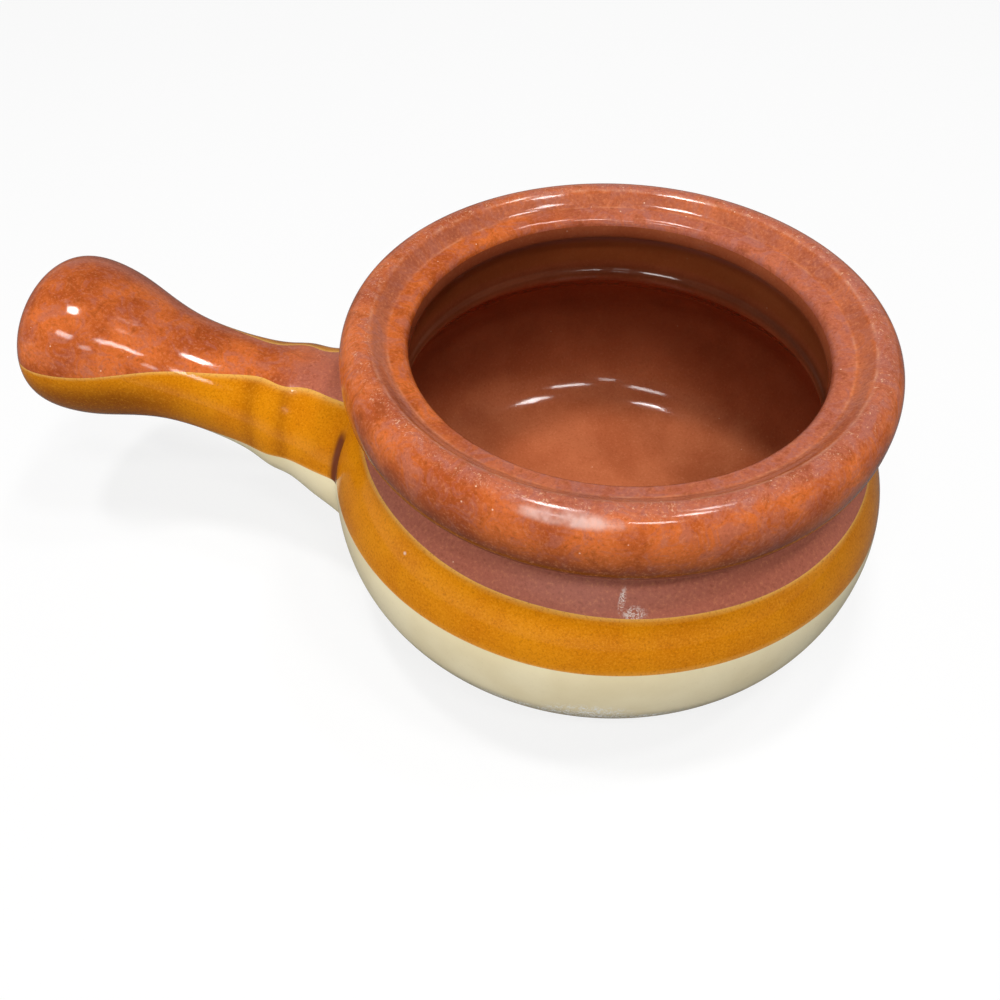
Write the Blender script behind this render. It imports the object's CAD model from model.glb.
import math

import bmesh
import bpy
import numpy as np
from mathutils import Matrix, Vector


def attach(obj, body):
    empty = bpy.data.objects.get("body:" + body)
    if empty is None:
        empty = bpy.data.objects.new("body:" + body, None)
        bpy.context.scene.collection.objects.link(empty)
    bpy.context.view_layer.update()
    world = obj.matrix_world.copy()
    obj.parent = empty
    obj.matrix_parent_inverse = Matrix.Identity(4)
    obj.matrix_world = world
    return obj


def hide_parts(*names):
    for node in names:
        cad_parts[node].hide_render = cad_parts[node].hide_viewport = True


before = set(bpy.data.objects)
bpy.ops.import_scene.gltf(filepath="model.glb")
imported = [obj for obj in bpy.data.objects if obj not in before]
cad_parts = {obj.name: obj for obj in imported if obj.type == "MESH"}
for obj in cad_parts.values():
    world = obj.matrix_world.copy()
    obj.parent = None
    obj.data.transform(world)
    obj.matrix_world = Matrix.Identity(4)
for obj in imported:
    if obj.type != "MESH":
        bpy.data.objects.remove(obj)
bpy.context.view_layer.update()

# A stick-handled stoneware soup crock: the fired glazes are modelled as thin closed coats on the clay.
# Profiles are written in millimetres as (radius, height) and turned into metres when a mesh is made.
mm = 0.001
coat = 0.4                      # glaze thickness

# Bowl profile
mouth_radius = 45.0
lip_round = 2.0
seat_radius = 48.9              # foot of the slope that a lid would sit on
crest_radius = 53.9
rim_radius = 60.0
neck_inside = 47.3
neck_radius = 52.3
belly_radius = 65.7
belly_inside = 60.3
foot_radius = 47.5
foot_height = 3.0
foot_slope = math.radians(33.0)
belly_height = 32.4
neck_height = 57.5
crease_round = 2.0
rim_height = 68.5
crest_height = 76.5
flange_height = 73.35
seat_height = 73.65
lip_bottom = 68.45
cove_radius = 48.15
cove_top = 67.2
cove_bottom = 58.6
ridge_height = 56.8             # the neck's narrowest place inside, under the cove
ridge_pull = 5.0
ledge_pull = 0.9
floor_height = 7.0
recess_depth = 1.5
foot_width = 7.0
underside_fullness = 0.70
roll_fullness = 0.61
floor_fullness = 0.85
slope_fullness = 0.36           # how far the lid seat's curve stays level at both its ends
belly_pull_low = 13.0
belly_pull_high = 15.0
shoulder_pull_low = 18.1
shoulder_pull_high = 5.0
lip_top = flange_height - lip_round
wall_points = 36                # on each of the two curves between the foot and the neck

# Handle: oval sections on a straight rising axis, measured from a point inside the bowl's wall
handle_start = np.array((-60.0, 0.0, 32.46))
handle_rise = math.radians(13.18)
handle_oval = 0.096             # wider than round by this share, and as much flatter
handle_end = 89.3
handle_dome_start = 60.0
handle_dome_fullness = 6.53
handle_wall = 4.0
handle_depth = 22.0             # how far its form runs back inside the bowl
seam_limit = 14.0               # the seam with the bowl lies before this place on the axis
handle_stations = (
    (-8.0, 24.6),
    (-3.0, 23.6),
    (3.0, 21.4),
    (9.0, 19.5),
    (17.2, 16.85),              # inner groove
    (21.4, 16.4),               # collar
    (26.4, 14.95),              # outer groove
    (34.0, 13.6),
    (43.0, 13.2),
    (52.0, 13.9),
    (60.0, 15.9),
    (68.0, 18.35),
    (78.0, 19.76),
    (90.0, 19.9),
)
fillet_reach = 1.7
fillet_sink = 0.02              # how far the fillet's edge dips into the bowl's surface
inner_sink = 0.1                # and the inner face of the handle's root
slip_depth = 0.8
slip_inset = 0.1                # how far the slip stays under the clay's edge
vent_place = np.array((-93.9, 0.0))
vent_radius = 1.5
vent_pin_middle = 20.0
vent_pin_length = 40.0

turn_segments = 288
handle_segments = 160
handle_rows = 110
handle_row_crowding = 1.35      # rows lie closer together towards the handle's tip
fillet_rows = 8
plug_rows = 75
join_distance = 2e-7
sharp_angle = math.radians(38)


# Curves

def bezier(start, first, second, end, count):
    """Points along a cubic curve, without its last point."""
    t = np.linspace(0, 1, count, endpoint=False)[:, None]
    start, first, second, end = (np.array(p, float) for p in (start, first, second, end))
    return (
        (1 - t) ** 3 * start
        + 3 * t * (1 - t) ** 2 * first
        + 3 * t ** 2 * (1 - t) * second
        + t ** 3 * end
    )


def rounded(start, corner, end, fullness, count):
    """A curve from start to end, tangent to the two legs that meet at corner."""
    start, corner, end = (np.array(p, float) for p in (start, corner, end))
    first = start + (corner - start) * fullness
    second = end + (corner - end) * fullness
    return bezier(start, first, second, end, count)


def arc(centre, radius, start_degrees, sweep_degrees, count):
    """Points along a circular arc, without its last point."""
    a = np.radians(start_degrees + sweep_degrees * np.linspace(0, 1, count, endpoint=False))
    return np.column_stack((centre[0] + radius * np.cos(a), centre[1] + radius * np.sin(a)))


def line(start, end, count):
    """Points along a straight run, without its last point."""
    t = np.linspace(0, 1, count, endpoint=False)[:, None]
    return np.array(start, float) * (1 - t) + np.array(end, float) * t


def outside_profile(inset):
    """The bowl's outside from the foot over the rim to the lip, drawn in by inset from the glaze."""
    foot = np.array((foot_radius, foot_height + inset / math.cos(foot_slope)))
    belly = np.array((belly_radius - inset, belly_height))
    neck = np.array((neck_radius - inset, neck_height))
    crease = np.array((neck_radius + crease_round, neck_height))
    underside = crease + (0, crease_round + inset)
    side = np.array((rim_radius - inset, rim_height))
    crest = np.array((crest_radius, crest_height - inset))
    seat = np.array((seat_radius, seat_height - inset))
    lip_centre = np.array((mouth_radius + lip_round, lip_top))
    slope_pull = np.array(((crest_radius - seat_radius) * slope_fullness, 0))
    rise = np.array((math.cos(foot_slope), math.sin(foot_slope))) * belly_pull_low
    return np.vstack((
        bezier(foot, foot + rise, belly - (0, belly_pull_high), belly, wall_points),
        bezier(
            belly, belly + (0, shoulder_pull_low), neck - (0, shoulder_pull_high), neck, wall_points
        ),
        arc(crease, crease_round + inset, 180, -90, 9),
        rounded(underside, (side[0], underside[1]), side, underside_fullness, 18),
        rounded(side, (side[0], crest[1]), crest, roll_fullness, 24),
        bezier(crest, crest - slope_pull, seat + slope_pull, seat, 24),
        line(seat, lip_centre + (0, lip_round - inset), 6),
        arc(lip_centre, lip_round - inset, 90, 90, 9),
        [(mouth_radius + inset, lip_top)],
    ))


def inside_profile(outset):
    """The bowl's inside from the lip to the middle of the floor, moved into the wall by outset."""
    lip = np.array((mouth_radius + outset, lip_bottom + outset / 2))
    cove = np.array((cove_radius + outset, cove_top + outset / 2))
    ledge = np.array((cove_radius + outset, cove_bottom))
    ridge = np.array((neck_inside + outset, ridge_height))
    belly = np.array((belly_inside + outset, belly_height))
    floor = np.array((0, floor_height - outset))
    return np.vstack((
        line((mouth_radius + outset, lip_top), lip, 6),
        line(lip, cove, 5),
        line(cove, ledge, 8),
        bezier(ledge, ledge - (0, ledge_pull), ridge + (0, ledge_pull), ridge, 14),
        bezier(ridge, ridge - (0, ridge_pull), belly + (0, shoulder_pull_low), belly, 30),
        rounded(belly, (belly[0], floor[1]), floor, floor_fullness, 60),
        [floor],
    ))


def spline_through(stations):
    """A natural cubic curve through (place, value) stations, as a function of place."""
    x, y = np.array(stations).T
    h = np.diff(x)
    count = len(x)
    system = np.eye(count)
    right = np.zeros(count)
    for i in range(1, count - 1):
        system[i, i - 1:i + 2] = h[i - 1], 2 * (h[i - 1] + h[i]), h[i]
        right[i] = 6 * ((y[i + 1] - y[i]) / h[i] - (y[i] - y[i - 1]) / h[i - 1])
    bend = np.linalg.solve(system, right)

    def value(place):
        place = np.clip(place, x[0], x[-1])
        i = np.clip(np.searchsorted(x, place) - 1, 0, count - 2)
        left = x[i + 1] - place
        after = place - x[i]
        return (
            (bend[i] * left ** 3 + bend[i + 1] * after ** 3) / (6 * h[i])
            + (y[i] / h[i] - bend[i] * h[i] / 6) * left
            + (y[i + 1] / h[i] - bend[i + 1] * h[i] / 6) * after
        )

    return value


handle_radius = spline_through(handle_stations)
handle_along = np.array((-math.cos(handle_rise), 0, math.sin(handle_rise)))
handle_up = np.array((math.sin(handle_rise), 0, math.cos(handle_rise)))
handle_side = np.array((0.0, 1.0, 0.0))
handle_angles = np.linspace(0, 2 * math.pi, handle_segments, endpoint=False)


def handle_surface(place, angle, inset):
    """Points of the handle's surface at places along its axis and angles round it, drawn in by inset."""
    end = handle_end - inset
    dome = np.clip((place - handle_dome_start) / (end - handle_dome_start), 0, 1)
    radius = (handle_radius(place) - inset) * np.sqrt(np.clip(1 - dome ** handle_dome_fullness, 0, 1))
    across = radius * (1 + handle_oval) * np.cos(angle)
    above = radius * (1 - handle_oval) * np.sin(angle)
    return (
        handle_start
        + place[..., None] * handle_along
        + across[..., None] * handle_side
        + above[..., None] * handle_up
    )


def bowl_radius_at(height, inset):
    """Radius of the bowl's outside between the foot and the neck, by height."""
    profile = outside_profile(inset)[:2 * wall_points]
    return np.interp(height, profile[:, 1], profile[:, 0])


def seam_places(inset, wall_inset):
    """Where the handle's surface leaves the bowl's wall, as places along its axis, for each angle."""
    low = np.full(handle_segments, -handle_depth)
    high = np.full(handle_segments, seam_limit)
    for _ in range(40):
        middle = (low + high) / 2
        p = handle_surface(middle, handle_angles, inset)
        within = np.hypot(p[..., 0], p[..., 1]) < bowl_radius_at(p[..., 2], wall_inset)
        low = np.where(within, middle, low)
        high = np.where(within, high, middle)
    return (low + high) / 2


# Meshes

def make_mesh(name, points, faces):
    """A mesh in metres from points in millimetres."""
    mesh = bpy.data.meshes.new(name)
    mesh.from_pydata((np.asarray(points) * mm).tolist(), [], faces)
    mesh.update()
    return mesh


def grid_faces(rows, columns, close_rows):
    """Quads of a grid that closes round its columns, and round its rows where asked."""
    last = rows if close_rows else rows - 1
    return [
        (
            r * columns + c,
            r * columns + (c + 1) % columns,
            (r + 1) % rows * columns + (c + 1) % columns,
            (r + 1) % rows * columns + c,
        )
        for r in range(last)
        for c in range(columns)
    ]


def tidied(mesh):
    """The mesh with points that fall together joined and every face turned outwards."""
    bm = bmesh.new()
    bm.from_mesh(mesh)
    bmesh.ops.remove_doubles(bm, verts=bm.verts[:], dist=join_distance)
    bmesh.ops.dissolve_degenerate(bm, edges=bm.edges[:], dist=join_distance)
    bmesh.ops.recalc_face_normals(bm, faces=bm.faces[:])
    bm.to_mesh(mesh)
    bm.free()
    return mesh


def lathe(name, profile):
    """A closed section turned about Z."""
    angle = np.linspace(0, 2 * math.pi, turn_segments, endpoint=False)
    radius = profile[:, 0][:, None]
    height = profile[:, 1][:, None]
    points = np.stack(
        (radius * np.cos(angle), radius * np.sin(angle), height + 0 * angle), axis=-1
    ).reshape(-1, 3)
    return tidied(make_mesh(name, points, grid_faces(len(profile), turn_segments, True)))


def rows_to_tip(begin, inset):
    """Rings of points on the handle from the places in begin to its tip, drawn in by inset."""
    rows = []
    for t in np.linspace(0, 1, handle_rows):
        place = begin + (handle_end - inset - begin) * (1 - (1 - t) ** handle_row_crowding)
        rows.append(handle_surface(place, handle_angles, inset))
    return rows


def fillet_rings(seam, reach, inset):
    """Rings of points that lead from the bowl's wall up onto the handle round its seam."""
    corner = handle_surface(seam, handle_angles, inset)
    above = handle_surface(seam + reach, handle_angles, inset)
    outward = corner - (handle_start + seam[:, None] * handle_along)
    outward = outward / np.linalg.norm(outward, axis=1)[:, None]
    spread = corner + outward * reach
    wall = bowl_radius_at(spread[:, 2], fillet_sink)
    spread[:, :2] *= (wall / np.hypot(spread[:, 0], spread[:, 1]))[:, None]
    return [
        (1 - t) ** 2 * spread + 2 * t * (1 - t) * corner + t ** 2 * above
        for t in np.linspace(0, 1, fillet_rows, endpoint=False)
    ]


def handle_shell(name, inset, depth, fillet):
    """The handle between two depths below its surface, from its tip to the bowl's wall."""
    seam = seam_places(inset, 0.0)
    rows = fillet_rings(seam, fillet, inset) if fillet else []
    rows += rows_to_tip(seam + fillet, inset)
    rows += rows_to_tip(seam_places(depth, inner_sink), depth)[::-1]
    return tidied(make_mesh(name, np.vstack(rows), grid_faces(len(rows), handle_segments, True)))


def handle_plug():
    """The handle's filled form inside its glaze, which the bowl's coat stops against."""
    rows = [handle_start + np.zeros((handle_segments, 1)) - handle_depth * handle_along]
    for place in np.linspace(-handle_depth, handle_end - coat, plug_rows):
        rows.append(handle_surface(np.full(handle_segments, place), handle_angles, coat))
    faces = grid_faces(len(rows), handle_segments, False)
    return tidied(make_mesh("handle_plug", np.vstack(rows), faces))


def vent_pin():
    """A pin the size of the vent hole under the handle."""
    mesh = bpy.data.meshes.new("vent_pin")
    bm = bmesh.new()
    bmesh.ops.create_cone(
        bm,
        cap_ends=True,
        segments=48,
        radius1=vent_radius * mm,
        radius2=vent_radius * mm,
        depth=vent_pin_length * mm,
    )
    bmesh.ops.translate(bm, verts=bm.verts[:], vec=Vector((*vent_place, vent_pin_middle)) * mm)
    bm.to_mesh(mesh)
    bm.free()
    return mesh


def cut_away(mesh, tool):
    """The mesh with the tool's space taken out."""
    body = bpy.data.objects.new("cut_body", mesh)
    knife = bpy.data.objects.new("cut_tool", tool)
    for o in (body, knife):
        bpy.context.scene.collection.objects.link(o)
    cut = body.modifiers.new("cut", "BOOLEAN")
    cut.operation = "DIFFERENCE"
    cut.solver = "EXACT"
    cut.object = knife
    evaluated = body.evaluated_get(bpy.context.evaluated_depsgraph_get())
    result = bpy.data.meshes.new_from_object(evaluated)
    for o in (body, knife):
        bpy.data.objects.remove(o)
    return result


def coordinates(mesh):
    """The mesh's points in millimetres."""
    co = np.empty(len(mesh.vertices) * 3, np.float32)
    mesh.vertices.foreach_get("co", co)
    return co.reshape(-1, 3).astype(float) / mm


def dip_band(name, mesh, low, high):
    """The part of a whole coat between two dip lines, closed along its cuts."""
    bm = bmesh.new()
    bm.from_mesh(mesh)
    for dip_line, keep_above in ((low, True), (high, False)):
        if dip_line is None:
            continue
        for v in bm.verts:
            v.co.z -= dip_line(v.co.x / mm, v.co.y / mm) * mm
        cut = bmesh.ops.bisect_plane(
            bm,
            geom=bm.verts[:] + bm.edges[:] + bm.faces[:],
            dist=1e-8,
            plane_co=(0, 0, 0),
            plane_no=(0, 0, 1),
            clear_inner=keep_above,
            clear_outer=not keep_above,
        )
        edges = [e for e in cut["geom_cut"] if isinstance(e, bmesh.types.BMEdge)]
        bmesh.ops.triangle_fill(bm, use_beauty=True, edges=edges, normal=(0, 0, 1))
        for v in bm.verts:
            v.co.z += dip_line(v.co.x / mm, v.co.y / mm) * mm
    bmesh.ops.recalc_face_normals(bm, faces=bm.faces[:])
    band = bpy.data.meshes.new(name)
    bm.to_mesh(band)
    bm.free()
    return band


def paint(mesh, name, values):
    """Store a number for each point, for the material to read."""
    attribute = mesh.attributes.new(name, "FLOAT", "POINT")
    attribute.data.foreach_set("value", np.ascontiguousarray(values, np.float32))


def leave_bare(mesh, names):
    """Store zeros where a shared finish reads paints that this piece has no use for."""
    for name in names:
        paint(mesh, name, np.zeros(len(mesh.vertices)))


def step(low, high, x):
    """A smooth step from 0 at low to 1 at high."""
    t = np.clip((x - low) / (high - low), 0, 1)
    return t * t * (3 - 2 * t)


def ridge(middle, width, x):
    """A smooth hump round middle."""
    return np.exp(-(((x - middle) / width) ** 2))


def add_piece(name, mesh, node, material):
    """A finished piece that stands for a solid of the frame."""
    mesh.materials.clear()
    mesh.materials.append(material)
    mesh.polygons.foreach_set("use_smooth", [True] * len(mesh.polygons))
    mesh.set_sharp_from_angle(angle=sharp_angle)
    piece = bpy.data.objects.new(name, mesh)
    bpy.context.scene.collection.objects.link(piece)
    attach(piece, "root")
    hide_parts(node)
    return piece


# Dip lines, as heights over a place on the floor, with the slight wander of a hand-held dip

def wander(x, y, size, phase):
    """A slow rise and fall round the bowl."""
    turn = math.atan2(y, x)
    return size * (
        math.sin(2 * turn + phase)
        + 0.6 * math.sin(5 * turn + 2.1 * phase)
        + 0.35 * math.sin(11 * turn + phase)
    )


def bowl_brown_line(x, y):
    return 50.2 - 0.018 * x + wander(x, y, 0.12, 0.7)


def bowl_amber_line(x, y):
    return 38.7 + wander(x, y, 0.14, 2.9)


def handle_brown_line(x, y):
    swell_at_root = 0.8 * math.exp(-(((x + 62) / 9) ** 2))
    return 46.05 - 0.0519 * x + 0.12 * math.sin(0.21 * x + 0.05 * y) + swell_at_root


def handle_amber_line(x, y):
    return 38.33 + 0.0236 * x + 0.15 * math.sin(0.17 * x + 1.0)


# Node graphs

class Graph:
    """The node tree of a material or a world, with short calls for the nodes that they share."""

    def __init__(self, owner):
        owner.use_nodes = True
        self.tree = owner.node_tree

    def add(self, kind, **settings):
        made = self.tree.nodes.new(kind)
        for key, value in settings.items():
            setattr(made, key, value)
        return made

    def feed(self, socket, value):
        if isinstance(value, bpy.types.NodeSocket):
            self.tree.links.new(value, socket)
        else:
            socket.default_value = value

    def math(self, operation, a, b):
        made = self.add("ShaderNodeMath", operation=operation)
        self.feed(made.inputs[0], a)
        self.feed(made.inputs[1], b)
        return made.outputs[0]

    def span(self, value, low, high, to_low=0.0, to_high=1.0):
        """The value moved smoothly from one range to another and held at its ends."""
        made = self.add("ShaderNodeMapRange", interpolation_type="SMOOTHSTEP")
        self.feed(made.inputs["Value"], value)
        self.feed(made.inputs["From Min"], low)
        self.feed(made.inputs["From Max"], high)
        self.feed(made.inputs["To Min"], to_low)
        self.feed(made.inputs["To Max"], to_high)
        return made.outputs["Result"]

    def ray(self, kind):
        """1 for the rays of one kind, such as those that come straight from the camera."""
        return self.add("ShaderNodeLightPath").outputs[kind]

    def seen(self, glossy_share):
        """1 where the camera looks, straight or through glass, and a share of it in reflections."""
        reflected = self.math("MULTIPLY", self.ray("Is Glossy Ray"), glossy_share)
        straight = self.math("ADD", self.ray("Is Camera Ray"), reflected)
        return self.math("MAXIMUM", straight, self.ray("Is Transmission Ray"))


class Finish(Graph):
    """The node tree of a new material, with patterns that are placed and sized in millimetres."""

    def __init__(self, name):
        self.material = bpy.data.materials.new(name)
        super().__init__(self.material)
        self.shader = self.tree.nodes["Principled BSDF"]
        self.place = self.add("ShaderNodeTexCoord").outputs["Object"]

    def paint(self, name):
        return self.add("ShaderNodeAttribute", attribute_name=name).outputs["Fac"]

    def noise(self, grain_mm, detail=3.0, roughness=0.55, distortion=0.0):
        made = self.add("ShaderNodeTexNoise")
        self.feed(made.inputs["Vector"], self.place)
        made.inputs["Scale"].default_value = 1 / (grain_mm * mm)
        made.inputs["Detail"].default_value = detail
        made.inputs["Roughness"].default_value = roughness
        made.inputs["Distortion"].default_value = distortion
        return made.outputs["Fac"]

    def specks(self, spacing_mm, size):
        """Small round specks at random places, 1 in their middles."""
        made = self.add("ShaderNodeTexVoronoi")
        self.feed(made.inputs["Vector"], self.place)
        made.inputs["Scale"].default_value = 1 / (spacing_mm * mm)
        return self.span(made.outputs["Distance"], size, size * 0.5)

    def blot(self, middle_mm, sizes_mm):
        """1 at a place on the object, falling to 0 over the given sizes along X, Y and Z."""
        moved = self.add("ShaderNodeVectorMath", operation="SUBTRACT")
        self.feed(moved.inputs[0], self.place)
        self.feed(moved.inputs[1], tuple(v * mm for v in middle_mm))
        shrunk = self.add("ShaderNodeVectorMath", operation="DIVIDE")
        self.feed(shrunk.inputs[0], moved.outputs[0])
        self.feed(shrunk.inputs[1], tuple(v * mm for v in sizes_mm))
        length = self.add("ShaderNodeVectorMath", operation="LENGTH")
        self.feed(length.inputs[0], shrunk.outputs[0])
        return self.span(length.outputs["Value"], 1.0, 0.3)

    def mix(self, factor, a, b, blend="MIX"):
        """Two colours mixed. The mix node's colour sockets are inputs 6 and 7 and output 2."""
        made = self.add("ShaderNodeMix", data_type="RGBA", blend_type=blend, clamp_factor=True)
        self.feed(made.inputs[0], factor)
        self.feed(made.inputs[6], a)
        self.feed(made.inputs[7], b)
        return made.outputs[2]

    def bump(self, height, depth_mm, strength=1.0, normal=None):
        made = self.add("ShaderNodeBump")
        made.inputs["Strength"].default_value = strength
        made.inputs["Distance"].default_value = depth_mm * mm
        self.feed(made.inputs["Height"], height)
        if normal is not None:
            self.feed(made.inputs["Normal"], normal)
        return made.outputs["Normal"]

    def finish(self, colour, roughness, normal=None, specular=0.25):
        self.feed(self.shader.inputs["Base Color"], colour)
        self.feed(self.shader.inputs["Roughness"], roughness)
        self.shader.inputs["IOR"].default_value = 1.5
        self.shader.inputs["Specular IOR Level"].default_value = specular
        if normal is not None:
            self.feed(self.shader.inputs["Normal"], normal)
        return self.material


def rgb(red, green, blue):
    """A colour given in display values from 0 to 255."""
    def linear(v):
        v = v / 255
        return v / 12.92 if v <= 0.04045 else ((v + 0.055) / 1.055) ** 2.4
    return (linear(red), linear(green), linear(blue), 1.0)


def grey(level):
    """A grey that sends back this share of the light."""
    return (level, level, level, 1.0)


# Finishes

def brown_liner():
    """The glossy brown glaze inside the bowl, thicker and darker on the walls."""
    g = Finish("brown_liner")
    cloud = g.noise(14.0, 4.0)
    fine = g.noise(0.7, 3.0, 0.7)
    colour = g.mix(g.span(cloud, 0.35, 0.65), rgb(184, 98, 60), rgb(198, 111, 71))
    colour = g.mix(g.span(fine, 0.52, 0.75, 0, 0.35), colour, rgb(222, 142, 100))
    colour = g.mix(g.span(fine, 0.48, 0.25, 0, 0.35), colour, rgb(146, 68, 40))
    colour = g.mix(g.math("MULTIPLY", g.specks(7.0, 0.04), 0.6), colour, rgb(236, 186, 150))
    colour = g.mix(g.paint("wall"), colour, (0.46, 0.39, 0.36, 1), "MULTIPLY")
    colour = g.mix(g.paint("cove"), colour, rgb(128, 66, 26))
    colour = g.mix(g.paint("ledge"), colour, rgb(84, 38, 20))
    colour = g.mix(g.paint("bloom"), colour, rgb(122, 82, 82))
    colour = g.mix(g.paint("lip_edge"), colour, rgb(40, 15, 8))
    normal = g.bump(g.noise(7.0, 2.0), 0.08, 0.4)
    return g.finish(colour, g.span(fine, 0.3, 0.7, 0.07, 0.12), normal)


def brown_glaze():
    """Red-brown glaze, orange where it ran thin, pink and scuffed on the crest, dull on the shoulder."""
    g = Finish("brown_glaze")
    cloud = g.noise(12.0, 4.0, 0.6)
    patch = g.noise(5.0, 6.0, 0.7, 1.2)
    fine = g.noise(0.7, 3.0, 0.7)
    scratch = g.noise(1.1, 4.0, 0.75, 2.0)
    colour = g.mix(g.span(cloud, 0.35, 0.65), rgb(174, 80, 34), rgb(216, 110, 49))
    pinkish = g.math("ADD", g.span(patch, 0.47, 0.62, 0, 0.55), g.paint("blush"))
    colour = g.mix(pinkish, colour, rgb(178, 104, 86))
    colour = g.mix(g.span(patch, 0.47, 0.34, 0, 0.45), colour, rgb(146, 68, 26))
    colour = g.mix(g.paint("dark"), colour, rgb(84, 34, 12))
    colour = g.mix(g.paint("groove"), colour, rgb(158, 98, 82))
    colour = g.mix(g.paint("shoulder"), colour, rgb(178, 101, 80))
    colour = g.mix(g.span(fine, 0.5, 0.72, 0, 0.36), colour, rgb(226, 146, 100))
    colour = g.mix(g.span(fine, 0.48, 0.28, 0, 0.34), colour, rgb(108, 48, 26))
    colour = g.mix(g.paint("pool"), colour, rgb(54, 24, 18))
    thin = g.math("MULTIPLY", g.paint("thin"), g.span(g.noise(4.0, 3.0), 0.4, 0.65, 0.1, 0.6))
    colour = g.mix(thin, colour, rgb(220, 156, 122))
    worn = g.math("MULTIPLY", g.paint("crest"), g.span(scratch, 0.58, 0.65, 0, 0.7))
    colour = g.mix(worn, colour, rgb(230, 184, 150))
    smear = g.span(g.noise(3.5, 2.0, 0.5), 0.35, 0.65, 0.15, 0.55)
    haze = g.math("MULTIPLY", g.blot((0.5, -57.5, 75.1), (14.0, 3.5, 1.5)), smear)
    colour = g.mix(haze, colour, rgb(240, 210, 200))
    streak = g.blot((12.0, -55.0, 52.4), (0.9, 4.0, 2.9))
    spatter = g.blot((14.8, -56.5, 50.6), (3.2, 3.0, 1.6))
    drip = g.math("MULTIPLY", g.math("MAXIMUM", streak, spatter), g.span(scratch, 0.47, 0.58, 0, 0.9))
    colour = g.mix(drip, colour, rgb(236, 222, 212))
    colour = g.mix(g.math("MULTIPLY", g.specks(5.0, 0.045), 0.8), colour, rgb(240, 206, 176))
    dull = g.math("MULTIPLY", g.paint("shoulder"), 0.25)
    rough = g.math("ADD", g.span(fine, 0.3, 0.7, 0.06, 0.11), dull)
    rough = g.math("ADD", rough, g.math("MULTIPLY", pinkish, 0.08))
    rough = g.math("ADD", rough, g.math("MULTIPLY", haze, 0.5))
    normal = g.bump(g.noise(6.0, 2.0), 0.08, 0.4)
    normal = g.bump(fine, 0.02, 0.15, normal)
    return g.finish(colour, rough, normal)


def amber_glaze():
    """Honey glaze with a pale line along its dip edges, dark where it or the brown pooled."""
    g = Finish("amber_glaze")
    cloud = g.noise(10.0, 4.0, 0.6)
    fine = g.noise(0.5, 3.0, 0.7)
    colour = g.mix(g.span(cloud, 0.3, 0.7), rgb(204, 120, 5), rgb(216, 134, 8))
    colour = g.mix(g.paint("pool"), colour, rgb(140, 72, 4))
    colour = g.mix(g.paint("edge"), colour, rgb(232, 176, 88))
    colour = g.mix(g.span(fine, 0.5, 0.72, 0, 0.38), colour, rgb(234, 164, 44))
    colour = g.mix(g.span(fine, 0.5, 0.3, 0, 0.42), colour, rgb(146, 72, 6))
    colour = g.mix(g.paint("crevice"), colour, rgb(112, 54, 26))
    fleck = g.math("MULTIPLY", g.blot((-34.5, -50.3, 48.2), (0.7, 0.7, 0.6)), 0.9)
    colour = g.mix(fleck, colour, rgb(238, 226, 206))
    normal = g.bump(g.noise(6.0, 2.0), 0.08, 0.4)
    return g.finish(colour, g.span(fine, 0.3, 0.7, 0.08, 0.14), normal, 0.2)


def cream_glaze():
    """Smooth satin cream coat, grimy towards the foot, with some dust under the belly."""
    g = Finish("cream_glaze")
    cloud = g.noise(16.0, 3.0, 0.5)
    fine = g.noise(0.7, 3.0, 0.7)
    grit = g.noise(0.9, 4.0, 0.75, 1.0)
    colour = g.mix(g.span(cloud, 0.35, 0.65), rgb(240, 224, 182), rgb(247, 233, 194))
    colour = g.mix(g.span(fine, 0.45, 0.25, 0, 0.12), colour, rgb(204, 182, 136))
    colour = g.mix(g.paint("grime"), colour, rgb(166, 154, 126))
    along_edge = g.blot((10.0, -62.5, 20.6), (42.0, 14.0, 2.4))
    in_front = g.blot((9.0, -63.8, 23.5), (13.0, 8.0, 5.0))
    dust = g.math("MULTIPLY", g.math("MAXIMUM", along_edge, in_front), g.span(grit, 0.5, 0.56, 0, 0.95))
    colour = g.mix(dust, colour, rgb(252, 250, 245))
    normal = g.bump(g.noise(8.0, 2.0), 0.05, 0.3)
    return g.finish(colour, g.span(fine, 0.3, 0.7, 0.2, 0.26), normal)


def stoneware():
    """Bare buff clay with iron specks."""
    g = Finish("stoneware")
    cloud = g.noise(8.0, 4.0)
    fine = g.noise(0.5, 4.0, 0.7)
    colour = g.mix(g.span(cloud, 0.35, 0.65), rgb(196, 176, 142), rgb(212, 194, 162))
    colour = g.mix(g.span(fine, 0.5, 0.7, 0, 0.5), colour, rgb(224, 210, 184))
    colour = g.mix(g.math("MULTIPLY", g.specks(1.8, 0.1), 0.8), colour, rgb(112, 82, 56))
    normal = g.bump(fine, 0.06, 0.6)
    return g.finish(colour, g.span(fine, 0.3, 0.7, 0.7, 0.85), normal, 0.3)


liner_finish = brown_liner()
brown_finish = brown_glaze()
amber_finish = amber_glaze()
cream_finish = cream_glaze()
clay_finish = stoneware()


# Clay: the bowl with its cove and dry foot ring, the oval handle and the slip between them

foot = [
    (0.0, recess_depth),
    (foot_radius - foot_width - recess_depth, recess_depth),
    (foot_radius - foot_width, 0.0),
    (foot_radius, 0.0),
]
clay_section = np.vstack((inside_profile(coat), foot, outside_profile(coat)))
add_piece("bowl_clay", lathe("bowl_clay", clay_section), "bowl_body", clay_finish)
handle_clay = cut_away(handle_shell("handle_clay", coat, coat + handle_wall, 0.0), vent_pin())
add_piece("handle_clay", handle_clay, "handle_body", clay_finish)


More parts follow.
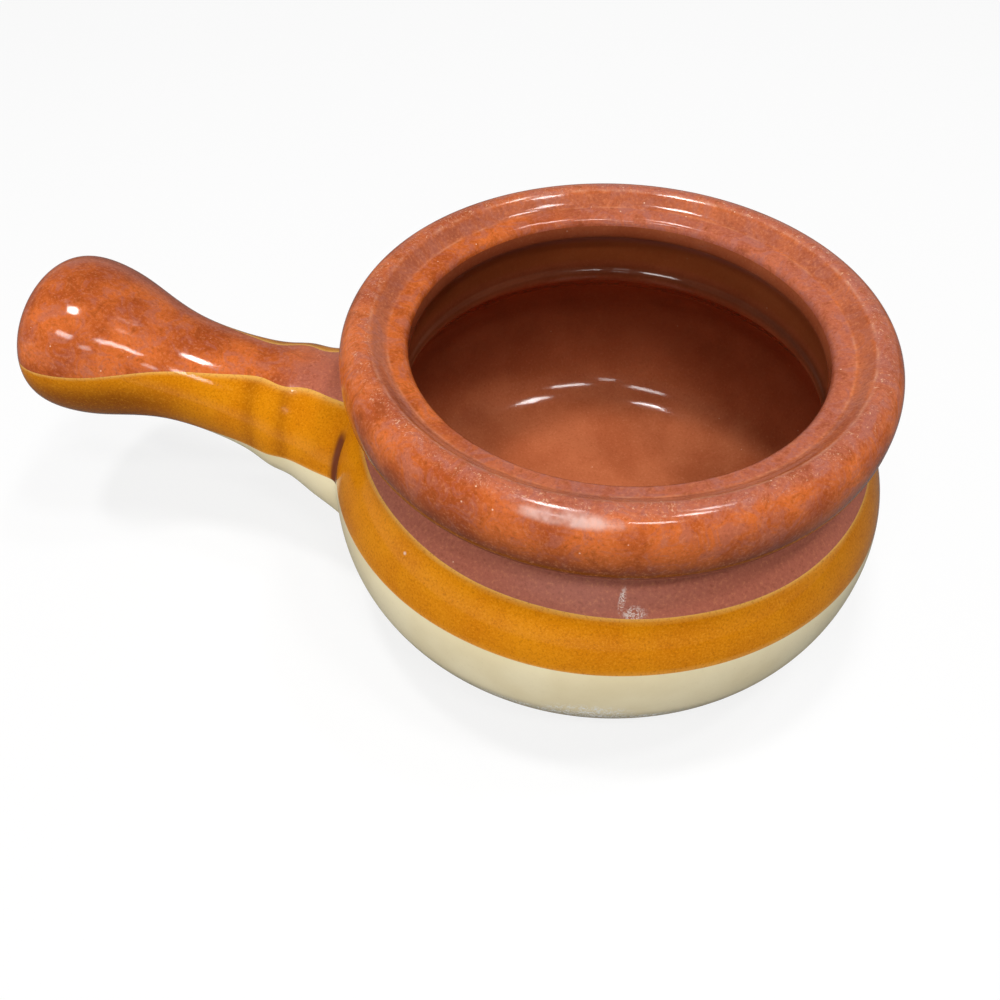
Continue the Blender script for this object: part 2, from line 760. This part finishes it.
def slip_ring():
    """The ring of slip between the handle's root and the bowl's wall."""
    outer = coat + slip_inset
    inner = handle_wall
    rows = [
        handle_surface(seam_places(inset, wall_inset), handle_angles, inset)
        for inset, wall_inset in ((outer, 0.0), (outer, slip_depth), (inner, slip_depth), (inner, 0.0))
    ]
    return make_mesh("slip_ring", np.vstack(rows), grid_faces(len(rows), handle_segments, True))


add_piece("slip_ring", slip_ring(), "luting_slip", clay_finish)


# Liner

lining = np.vstack((inside_profile(0.0), inside_profile(coat)[::-1]))
liner_mesh = lathe("liner_coat", lining)
spot = coordinates(liner_mesh)
height = spot[:, 2]
paint(liner_mesh, "lip_edge", ridge(lip_bottom - 0.6, 0.7, height) * (height > 60))
on_right = 0.22 * step(15.0, 50.0, spot[:, 0])
below_ledge = 0.18 * ridge(51.0, 5.0, height)
thick = step(10.0, 34.0, height) * (1 - 0.45 * step(68.6, 71.5, height))
paint(liner_mesh, "wall", thick * (1 - on_right - below_ledge))
paint(liner_mesh, "ledge", 0.6 * ridge(57.4, 1.5, height))
paint(liner_mesh, "cove", 0.55 * step(59.0, 61.0, height) * (1 - step(65.0, 68.0, height)))
paint(liner_mesh, "bloom", 0.45 * ridge(66.6, 0.9, height))
add_piece("liner_coat", liner_mesh, "liner_glaze", liner_finish)


# Bowl coats

bowl_coat = lathe("bowl_coat", np.vstack((outside_profile(0.0), outside_profile(coat)[::-1])))
bowl_coat = cut_away(bowl_coat, handle_plug())

rim_mesh = dip_band("rim_brown_coat", bowl_coat, bowl_brown_line, None)
spot = coordinates(rim_mesh)
radius = np.hypot(spot[:, 0], spot[:, 1])
height = spot[:, 2]
on_roll = radius > neck_radius + 1.0
upper = step(70.0, 71.5, height)
left = step(0.1, 0.8, -spot[:, 0] / radius)
on_flange = upper * (1 - step(seat_radius, seat_radius + 0.6, radius))
on_crest = upper * step(52.2, 53.0, radius) * (1 - step(55.0, 58.0, radius))
paint(rim_mesh, "shoulder", 1 - step(56.5, 59.0, height))
paint(rim_mesh, "dark", 0.95 * on_roll * (1 - step(60.5, 71.0, height)))
paint(rim_mesh, "pool", 0.9 * ridge(59.2, 0.9, height) * (radius < 57))
paint(rim_mesh, "groove", 0.45 * upper * step(49.0, 50.0, radius) * (1 - step(51.8, 52.8, radius)))
paint(rim_mesh, "thin", upper * (0.8 * ridge(52.8, 0.3, radius) + 0.6 * ridge(49.3, 0.25, radius)))
paint(rim_mesh, "crest", on_crest)
paint(rim_mesh, "blush", on_crest * (0.65 - 0.4 * left) + on_flange * 0.6 * (1 - left))
add_piece("rim_brown_coat", rim_mesh, "rim_brown_glaze", brown_finish)


def paint_amber(mesh, brown_line, cream_line):
    """Paint the pale dip edges of an amber band, and return its points' depth below the brown."""
    spot = coordinates(mesh)
    to_brown = np.array([brown_line(x, y) - z for x, y, z in spot])
    to_cream = np.array([z - cream_line(x, y) for x, y, z in spot])
    paint(mesh, "edge", np.maximum(ridge(0, 0.4, to_brown), 0.7 * ridge(0, 0.35, to_cream)))
    return to_brown


amber_mesh = dip_band("bowl_amber_coat", bowl_coat, bowl_amber_line, bowl_brown_line)
paint_amber(amber_mesh, bowl_brown_line, bowl_amber_line)
leave_bare(amber_mesh, ("pool", "crevice"))
add_piece("bowl_amber_coat", amber_mesh, "bowl_amber_glaze", amber_finish)

cream_mesh = dip_band("bowl_cream_coat", bowl_coat, None, bowl_amber_line)
paint(cream_mesh, "grime", 0.75 * (1 - step(19.0, 25.0, coordinates(cream_mesh)[:, 2])))
add_piece("bowl_cream_coat", cream_mesh, "bowl_cream_glaze", cream_finish)


# Handle coats

def off_the_wall(spot):
    """How far points lie from the bowl's wall."""
    return np.hypot(spot[:, 0], spot[:, 1]) - bowl_radius_at(spot[:, 2], 0.0)


handle_coat = cut_away(handle_shell("handle_coat", 0.0, coat, fillet_reach), vent_pin())

top_mesh = dip_band("handle_brown_coat", handle_coat, handle_brown_line, None)
spot = coordinates(top_mesh)
far_side = 0.45 * step(8.0, 17.0, spot[:, 1])
tip = 0.4 * step(138.0, 148.0, -spot[:, 0])
root_tint = 0.9 * (1 - step(68.0, 84.0, -spot[:, 0]))
leave_bare(top_mesh, ("groove", "thin", "crest", "blush"))
paint(top_mesh, "dark", np.maximum(far_side, tip))
paint(top_mesh, "shoulder", np.maximum(root_tint, 0.45 * step(3.0, 14.0, spot[:, 1])))
paint(top_mesh, "pool", 0.6 * (1 - step(0.2, 1.6, off_the_wall(spot))))
add_piece("handle_brown_coat", top_mesh, "handle_brown_glaze", brown_finish)

side_mesh = dip_band("handle_amber_coat", handle_coat, handle_amber_line, handle_brown_line)
below = paint_amber(side_mesh, handle_brown_line, handle_amber_line)
spot = coordinates(side_mesh)
runs = 0.45 * ridge(-77.0, 1.7, spot[:, 0]) + 0.45 * ridge(-86.0, 2.0, spot[:, 0])
paint(side_mesh, "pool", runs + 0.8 * step(0.5, 7.0, below) * step(92.0, 122.0, -spot[:, 0]))
near_wall = 1 - step(0.8, 1.9, off_the_wall(spot))
paint(side_mesh, "crevice", near_wall * (1 - step(45.5, 47.5, spot[:, 2])))
add_piece("handle_amber_coat", side_mesh, "handle_amber_glaze", amber_finish)

under_mesh = dip_band("handle_cream_coat", handle_coat, None, handle_amber_line)
leave_bare(under_mesh, ("grime",))
add_piece("handle_cream_coat", under_mesh, "handle_cream_glaze", cream_finish)


# Stage: a pale floor

floor_radius = 30.0
floor_lighting = grey(0.32)     # how strongly it lights the crock from below
floor_looked_at = grey(0.95)
floor_in_glaze = grey(0.10)
floor_glow = 0.8                # the white that lies over it, which softens the shadow
floor_glossy_share = 0.1


def pale_floor():
    """A pale tabletop that looks white to the eye and dim in the glaze, under a softened shadow."""
    g = Finish("pale_floor")
    colour = g.mix(g.ray("Is Camera Ray"), floor_lighting, floor_looked_at)
    colour = g.mix(g.ray("Is Glossy Ray"), colour, floor_in_glaze)
    g.finish(colour, 0.9, None, 0.2)
    white = g.add("ShaderNodeEmission")
    both = g.add("ShaderNodeMixShader")
    g.feed(both.inputs[0], g.math("MULTIPLY", g.seen(floor_glossy_share), floor_glow))
    g.feed(both.inputs[1], g.shader.outputs[0])
    g.feed(both.inputs[2], white.outputs[0])
    g.feed(g.tree.nodes["Material Output"].inputs["Surface"], both.outputs[0])
    return g.material


floor_mesh = bpy.data.meshes.new("floor")
bm = bmesh.new()
bmesh.ops.create_circle(bm, cap_ends=True, segments=96, radius=floor_radius)
bm.to_mesh(floor_mesh)
bm.free()
floor_mesh.materials.append(pale_floor())
floor = bpy.data.objects.new("floor", floor_mesh)
bpy.context.scene.collection.objects.link(floor)


# Light: small lamps overhead and a dim room that is pale round the horizon, brightest in front

room_base = 0.08                # light from every direction
room_front = 2.4                # the strongest light of the horizon, in front of the crock
room_front_way = (-0.6, -0.8, 0.0)
room_glossy_share = 0.3
lamp_distance = 1.2
lamp_aim = Vector((0, 0, 0.05))


def pale_room():
    """A room that is white to the camera round the horizon and lights the crock mostly from in front."""
    room = bpy.data.worlds.new("room")
    bpy.context.scene.world = room
    g = Graph(room)
    direction = g.add("ShaderNodeTexCoord").outputs["Generated"]
    parts = g.add("ShaderNodeSeparateXYZ")
    g.feed(parts.inputs[0], direction)
    low = g.span(parts.outputs["Z"], 0.08, 0.5, 1.0, 0.0)
    facing = g.add("ShaderNodeVectorMath", operation="DOT_PRODUCT")
    g.feed(facing.inputs[0], direction)
    g.feed(facing.inputs[1], room_front_way)
    front = g.span(facing.outputs["Value"], -0.2, 0.9, 0.05, room_front)
    dimming = g.math("SUBTRACT", 1.0, g.math("MULTIPLY", g.ray("Is Glossy Ray"), 0.8))
    pale = g.math("MAXIMUM", g.seen(room_glossy_share), g.math("MULTIPLY", front, dimming))
    strength = g.math("ADD", g.math("MULTIPLY", low, pale), room_base)
    background = g.tree.nodes["Background"]
    g.feed(background.inputs["Strength"], strength)
    g.feed(background.inputs["Color"], grey(1.0))


def lamp(name, azimuth, elevation, width, depth, share):
    """A lamp over the crock. Azimuth 0 is behind it, and share is its part of the light on the floor."""
    a = math.radians(azimuth)
    e = math.radians(elevation)
    away = Vector((math.sin(a) * math.cos(e), math.cos(a) * math.cos(e), math.sin(e)))
    light = bpy.data.lights.new(name, "AREA")
    light.shape = "RECTANGLE"
    light.size = width
    light.size_y = depth
    light.energy = share * math.pi ** 2 * lamp_distance ** 2 / math.sin(e)
    made = bpy.data.objects.new(name, light)
    made.location = away * lamp_distance + lamp_aim
    made.rotation_euler = away.to_track_quat("Z", "Y").to_euler()
    bpy.context.scene.collection.objects.link(made)


pale_room()
lamp("zenith", -105, 81, 0.16, 0.14, 0.36)
lamp("right", 96, 70, 0.16, 0.12, 0.18)
lamp("back_right", 54, 69, 0.13, 0.08, 0.10)
lamp("front_right", 146, 57, 0.26, 0.10, 0.15)
lamp("front_high", -163, 54, 0.26, 0.12, 0.13)
lamp("front", 172, 44, 0.14, 0.12, 0.03)


# Camera

camera_distance = 166.83
camera_height = 192.65
camera_turn = math.radians(5.31)
yaw = math.radians(-8.892) - camera_turn
pitch = math.radians(53.249)
roll = math.radians(-0.359)
focal_share = 0.90978           # focal length as a share of the picture's width
centre_share = (0.49952, 0.61668)
sensor_width = 36

forward = Vector((math.sin(yaw) * math.cos(pitch), math.cos(yaw) * math.cos(pitch), -math.sin(pitch)))
right = Vector((math.cos(yaw), -math.sin(yaw), 0))
up = right.cross(forward)
turned_right = right * math.cos(roll) + up * math.sin(roll)
turned_up = up * math.cos(roll) - right * math.sin(roll)
camera_data = bpy.data.cameras.new("camera")
camera_data.sensor_width = sensor_width
camera_data.lens = sensor_width * focal_share
camera_data.shift_x = 0.5 - centre_share[0]
camera_data.shift_y = centre_share[1] - 0.5
camera_data.clip_start = 0.01
camera = bpy.data.objects.new("camera", camera_data)
camera_axes = Matrix((turned_right, turned_up, -forward)).transposed()
camera_place = Vector((
    camera_distance * math.sin(camera_turn),
    -camera_distance * math.cos(camera_turn),
    camera_height,
))
camera.matrix_world = Matrix.Translation(camera_place * mm) @ camera_axes.to_4x4()
bpy.context.scene.collection.objects.link(camera)
bpy.context.scene.camera = camera

bpy.context.scene.view_settings.view_transform = "Standard"
